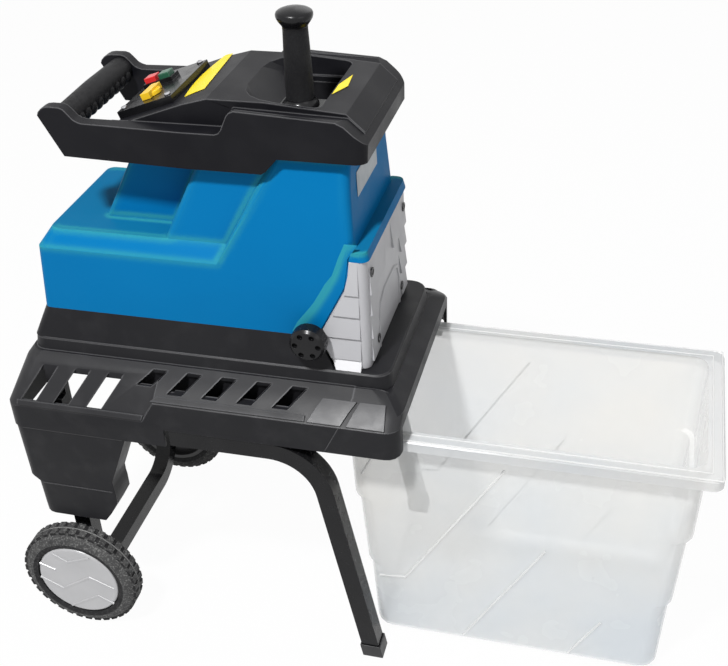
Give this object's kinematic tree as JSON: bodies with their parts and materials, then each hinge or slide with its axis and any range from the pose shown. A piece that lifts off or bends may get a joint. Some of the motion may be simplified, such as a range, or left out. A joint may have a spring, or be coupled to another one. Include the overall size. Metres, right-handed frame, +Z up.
{
  "type": "garden shredder",
  "caption": "Wheeled garden shredder with a feed hood and plunger, a geared cutting drum in a blue housing, a slotted deck on tube legs and a pull-out collection box.",
  "frame": {"origin": "centre of the footprint's bounding box on the floor, with the collection box drawn out", "axes": "+X towards the drawn-out collection box, +Y towards the left wheel, +Z up"},
  "size_m": [1.088, 0.45, 1.02],
  "materials": {
    "black_plastic": "textured moulded plastic",
    "hood_plastic": "fine-textured moulded plastic",
    "blue_plastic": "satin moulded plastic",
    "grey_plastic": "satin moulded plastic",
    "black_steel": "gloss powder coat",
    "steel": "bare steel",
    "cast_metal": "cast",
    "iron": "machined",
    "copper_iron": "laminated",
    "tyre_rubber": "matte",
    "rim_plastic": "moulded plastic",
    "hub_silver": "silver moulded plastic",
    "box_plastic": "milky translucent plastic",
    "grip_plastic": "soft textured",
    "red_plastic": "gloss",
    "green_plastic": "gloss",
    "yellow_plastic": "gloss"
  },
  "bodies": {
    "chassis": {"deck": "black_plastic", "deck_end_frame": "black_plastic", "leg_cover_right": "black_plastic", "leg_cover_left": "black_plastic", "lower_housing": "black_plastic", "control_panel": "black_plastic", "foot_caps": "black_plastic", "box_rails": "black_plastic", "switch_body": "black_plastic", "power_inlet": "black_plastic", "feed_chute": "black_plastic", "knob_bush": "black_plastic", "hood": "hood_plastic", "handle_grip": "grip_plastic", "main_cover": "blue_plastic", "drum_cover": "grey_plastic", "front_leg_right": "black_steel", "front_leg_left": "black_steel", "rear_leg_frame": "black_steel", "leg_bolts": "steel", "stub_axles": "steel", "cover_screws": "steel", "panel_screws": "steel", "gear_bearings": "steel", "motor_bearings": "steel", "chamber_plates": "steel", "plate_guides": "steel", "gearbox_case": "cast_metal", "gearbox_cover": "cast_metal", "motor_shields": "cast_metal", "capacitor": "cast_metal", "motor_stator": "copper_iron"},
    "rotor": {"motor_shaft": "steel", "rotor_core": "copper_iron", "cooling_fan": "black_plastic"},
    "countershaft": {"counter_shaft": "steel", "counter_gear": "steel"},
    "drum": {"drum_shaft": "steel", "output_gear": "steel", "cutting_drum": "iron"},
    "adjuster": {"adjusting_screw": "steel", "adjusting_knob": "grip_plastic"},
    "plate": {"counter_plate": "iron"},
    "box": {"collection_box": "box_plastic"},
    "plunger": {"plunger": "grip_plastic", "plunger_paddle": "grip_plastic"},
    "wheel_right": {"tyre_right": "tyre_rubber", "rim_right": "rim_plastic", "hub_cap_right": "hub_silver"},
    "wheel_left": {"tyre_left": "tyre_rubber", "rim_left": "rim_plastic", "hub_cap_left": "hub_silver"},
    "start": {"start_button": "green_plastic"},
    "stop": {"stop_button": "red_plastic"},
    "selector": {"direction_selector": "yellow_plastic"}
  },
  "joints": [
    {"name": "rotor_spin", "type": "hinge", "parent": "chassis", "child": "rotor", "pos_m": [-0.3, -0.02, 0.62531], "axis": [1, 0, 0], "continuous": true},
    {"name": "countershaft_spin", "type": "hinge", "parent": "chassis", "child": "countershaft", "pos_m": [-0.189, 0.025, 0.665], "axis": [1, 0, 0], "continuous": true},
    {"name": "drum_spin", "type": "hinge", "parent": "chassis", "child": "drum", "pos_m": [-0.056, 0.025, 0.6], "axis": [1, 0, 0], "continuous": true},
    {"name": "knob_turn", "type": "hinge", "parent": "chassis", "child": "adjuster", "pos_m": [-0.037, -0.128, 0.575], "axis": [0, 1, 0], "range_deg": [-725, 725]},
    {"name": "plate_slide", "type": "slide", "parent": "chassis", "child": "plate", "axis": [0, 1, 0], "range_m": [-0.003, 0.003]},
    {"name": "box_slide", "type": "slide", "parent": "chassis", "child": "box", "axis": [1, 0, 0], "range_m": [-0.405, 0.13]},
    {"name": "plunger_lift", "type": "slide", "parent": "chassis", "child": "plunger", "axis": [0, 0, 1], "range_m": [0, 0.35]},
    {"name": "wheel_right_spin", "type": "hinge", "parent": "chassis", "child": "wheel_right", "pos_m": [-0.444, -0.2, 0.1], "axis": [0, 1, 0], "continuous": true},
    {"name": "wheel_left_spin", "type": "hinge", "parent": "chassis", "child": "wheel_left", "pos_m": [-0.444, 0.2, 0.1], "axis": [0, 1, 0], "continuous": true},
    {"name": "start_press", "type": "slide", "parent": "chassis", "child": "start", "axis": [0.3381, 0, -0.9411], "range_m": [0, 0.003], "stiffness_N_per_m": 600, "springref_m": -0.001},
    {"name": "stop_press", "type": "slide", "parent": "chassis", "child": "stop", "axis": [0.3381, 0, -0.9411], "range_m": [0, 0.003], "stiffness_N_per_m": 600, "springref_m": -0.001},
    {"name": "selector_turn", "type": "hinge", "parent": "chassis", "child": "selector", "pos_m": [-0.26747, -0.032, 0.8752], "axis": [-0.3381, 0, 0.9411], "range_deg": [-45, 45]}
  ],
  "couplings": [
    {"joint": "countershaft_spin", "follows": "rotor_spin", "ratio": -0.21212},
    {"joint": "drum_spin", "follows": "rotor_spin", "ratio": 0.05303},
    {"joint": "knob_turn", "follows": "plate_slide", "rad_per_m": 4188.8}
  ]
}
